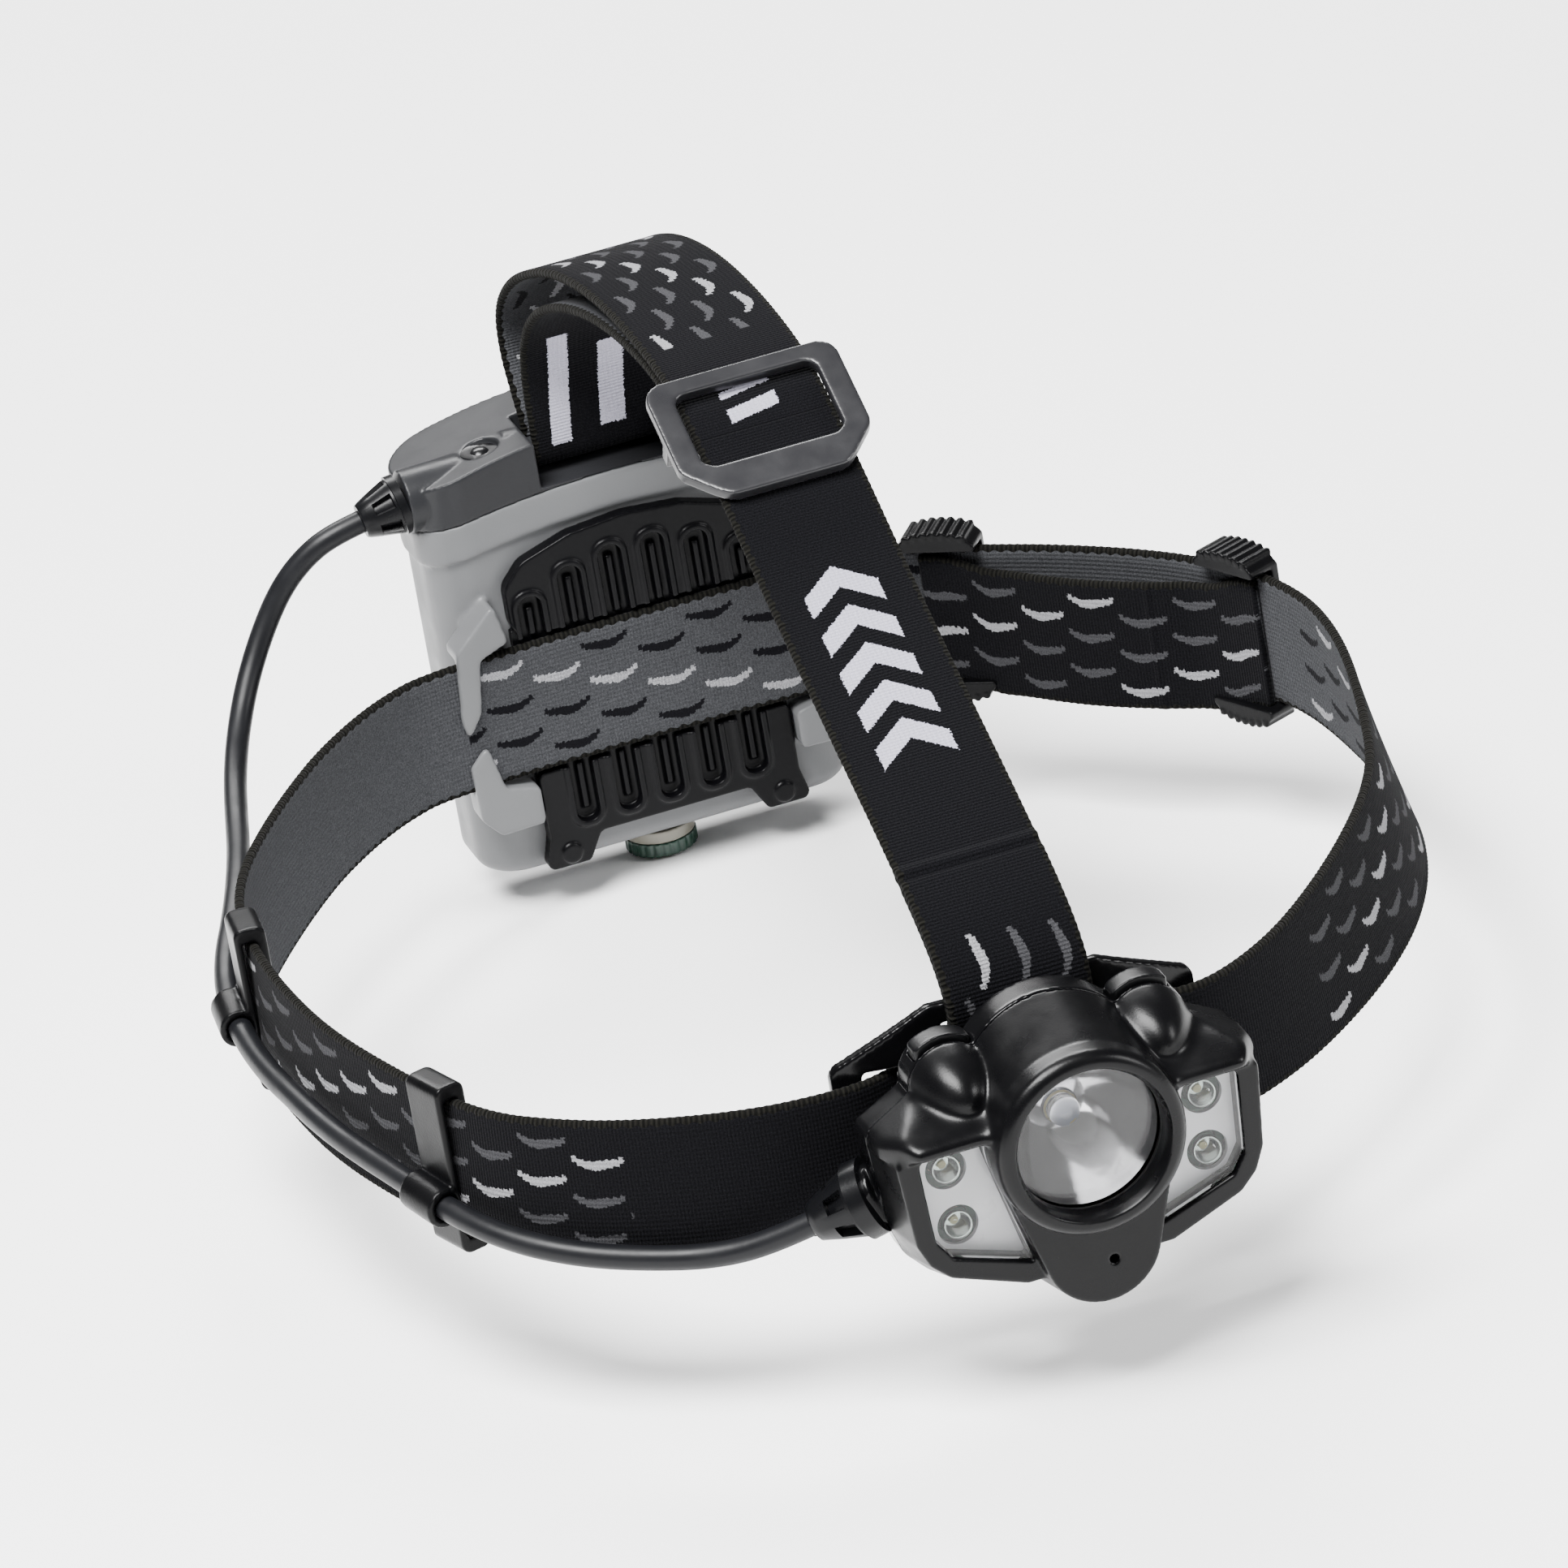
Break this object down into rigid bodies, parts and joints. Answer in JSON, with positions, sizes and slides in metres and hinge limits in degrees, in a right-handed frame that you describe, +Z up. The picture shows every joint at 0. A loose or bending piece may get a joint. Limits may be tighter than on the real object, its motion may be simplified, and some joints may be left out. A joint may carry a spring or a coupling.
{
  "type": "headlamp",
  "caption": "Headlamp with a tilting lamp housing, woven elastic headband, strap over the head, rear battery pack and a clipped lead.",
  "frame": {"origin": "centre of the headband's loop at the height of its middle, where the wearer's head sits", "axes": "+Z up through the crown of the head, -Y forward through the lamp, +X towards the webbing's two adjusting sliders"},
  "size_m": [0.2132, 0.2682, 0.1404],
  "materials": {
    "bezel_black": "fine satin texture",
    "rear_shell": "smoky gloss",
    "clear_lens": "polished",
    "reflector_metal": "vacuum metallised",
    "led_chip": "phosphor",
    "led_clear": "cast epoxy",
    "heat_sink_metal": "machined",
    "board": "solder mask",
    "switch_black": "moulded",
    "panel_white": "satin white",
    "gasket_rubber": "matt",
    "gland_grey": "satin",
    "bracket_black": "satin gloss",
    "steel": "bright",
    "webbing": "woven elastic, patterned black and grey",
    "webbing_black": "woven elastic, black with a grey pattern",
    "buckle_grey": "moulded satin",
    "slider_black": "moulded satin",
    "lead_jacket": "satin jacket",
    "case_grey": "fine texture",
    "cap_grey": "fine texture",
    "pad_rubber": "soft matt",
    "cradle_black": "moulded",
    "cell_label": "plain printed sleeve",
    "brass": "turned",
    "screw_beige": "satin",
    "ring_green": "satin"
  },
  "bodies": {
    "headband_body": {"bracket_plate": "bracket_black", "headband": "webbing", "headband_fold": "webbing", "top_strap_front": "webbing_black", "top_strap_rear": "webbing", "top_strap_return": "webbing", "top_buckle": "buckle_grey", "side_slider_front": "slider_black", "side_slider_rear": "slider_black", "cable_clip_front": "slider_black", "cable_clip_rear": "slider_black", "lead_front": "lead_jacket", "lead_rear": "lead_jacket", "battery_case": "case_grey", "back_pad": "pad_rubber"},
    "lamp": {"front_bezel": "bezel_black", "rear_housing": "rear_shell", "housing_seal": "gasket_rubber", "spot_lens": "clear_lens", "lens_gasket": "gasket_rubber", "spot_reflector": "reflector_metal", "spot_led": "led_chip", "heat_sink": "heat_sink_metal", "circuit_board": "board", "tact_switches": "switch_black", "flood_window_right": "clear_lens", "flood_window_left": "clear_lens", "flood_panel_right": "panel_white", "flood_panel_left": "panel_white", "flood_leds": "led_clear", "housing_screws": "steel", "lamp_gland": "gland_grey", "hinge_pin": "steel"},
    "spot_button_body": {"spot_button": "bezel_black"},
    "flood_button_body": {"flood_button": "bezel_black"},
    "battery_lid": {"pack_cap": "cap_grey", "cap_gasket": "gasket_rubber", "vent_plug": "cradle_black", "battery_cradle": "cradle_black", "battery_cells": "cell_label", "contact_springs": "steel", "contact_plates": "steel", "driver_board": "board", "thread_insert": "brass", "pack_gland": "gland_grey"},
    "o_ring_body": {"screw_o_ring": "gasket_rubber"},
    "thumbscrew_body": {"thumbscrew": "screw_beige", "screw_grip_ring": "ring_green"}
  },
  "joints": [
    {"name": "lamp_tilt", "type": "hinge", "parent": "headband_body", "child": "lamp", "pos_m": [0, -0.1087, -0.0185], "axis": [1, 0, 0], "range_deg": [0, 50], "deforming": ["lead_front"]},
    {"name": "spot_button_press", "type": "slide", "parent": "lamp", "child": "spot_button_body", "axis": [0, 0, -1], "range_m": [0, 0.001], "stiffness_N_per_m": 300, "springref_m": -0.0005},
    {"name": "flood_button_press", "type": "slide", "parent": "lamp", "child": "flood_button_body", "axis": [0, 0, -1], "range_m": [0, 0.001], "stiffness_N_per_m": 300, "springref_m": -0.0005},
    {"name": "cap_lift", "type": "slide", "parent": "headband_body", "child": "battery_lid", "axis": [0, 0, 1], "range_m": [0, 0.075], "deforming": ["lead_rear", "top_strap_rear", "top_strap_return"]},
    {"name": "thumbscrew_travel", "type": "slide", "parent": "headband_body", "child": "o_ring_body", "axis": [0, 0, -1], "range_m": [0, 0.0065]},
    {"name": "thumbscrew_turn", "type": "hinge", "parent": "o_ring_body", "child": "thumbscrew_body", "pos_m": [0, 0.1172, -0.0405], "axis": [0, 0, 1], "range_deg": [0, 2880]}
  ],
  "couplings": [
    {"joint": "thumbscrew_travel", "follows": "thumbscrew_turn", "m_per_rad": 0.00012732}
  ]
}
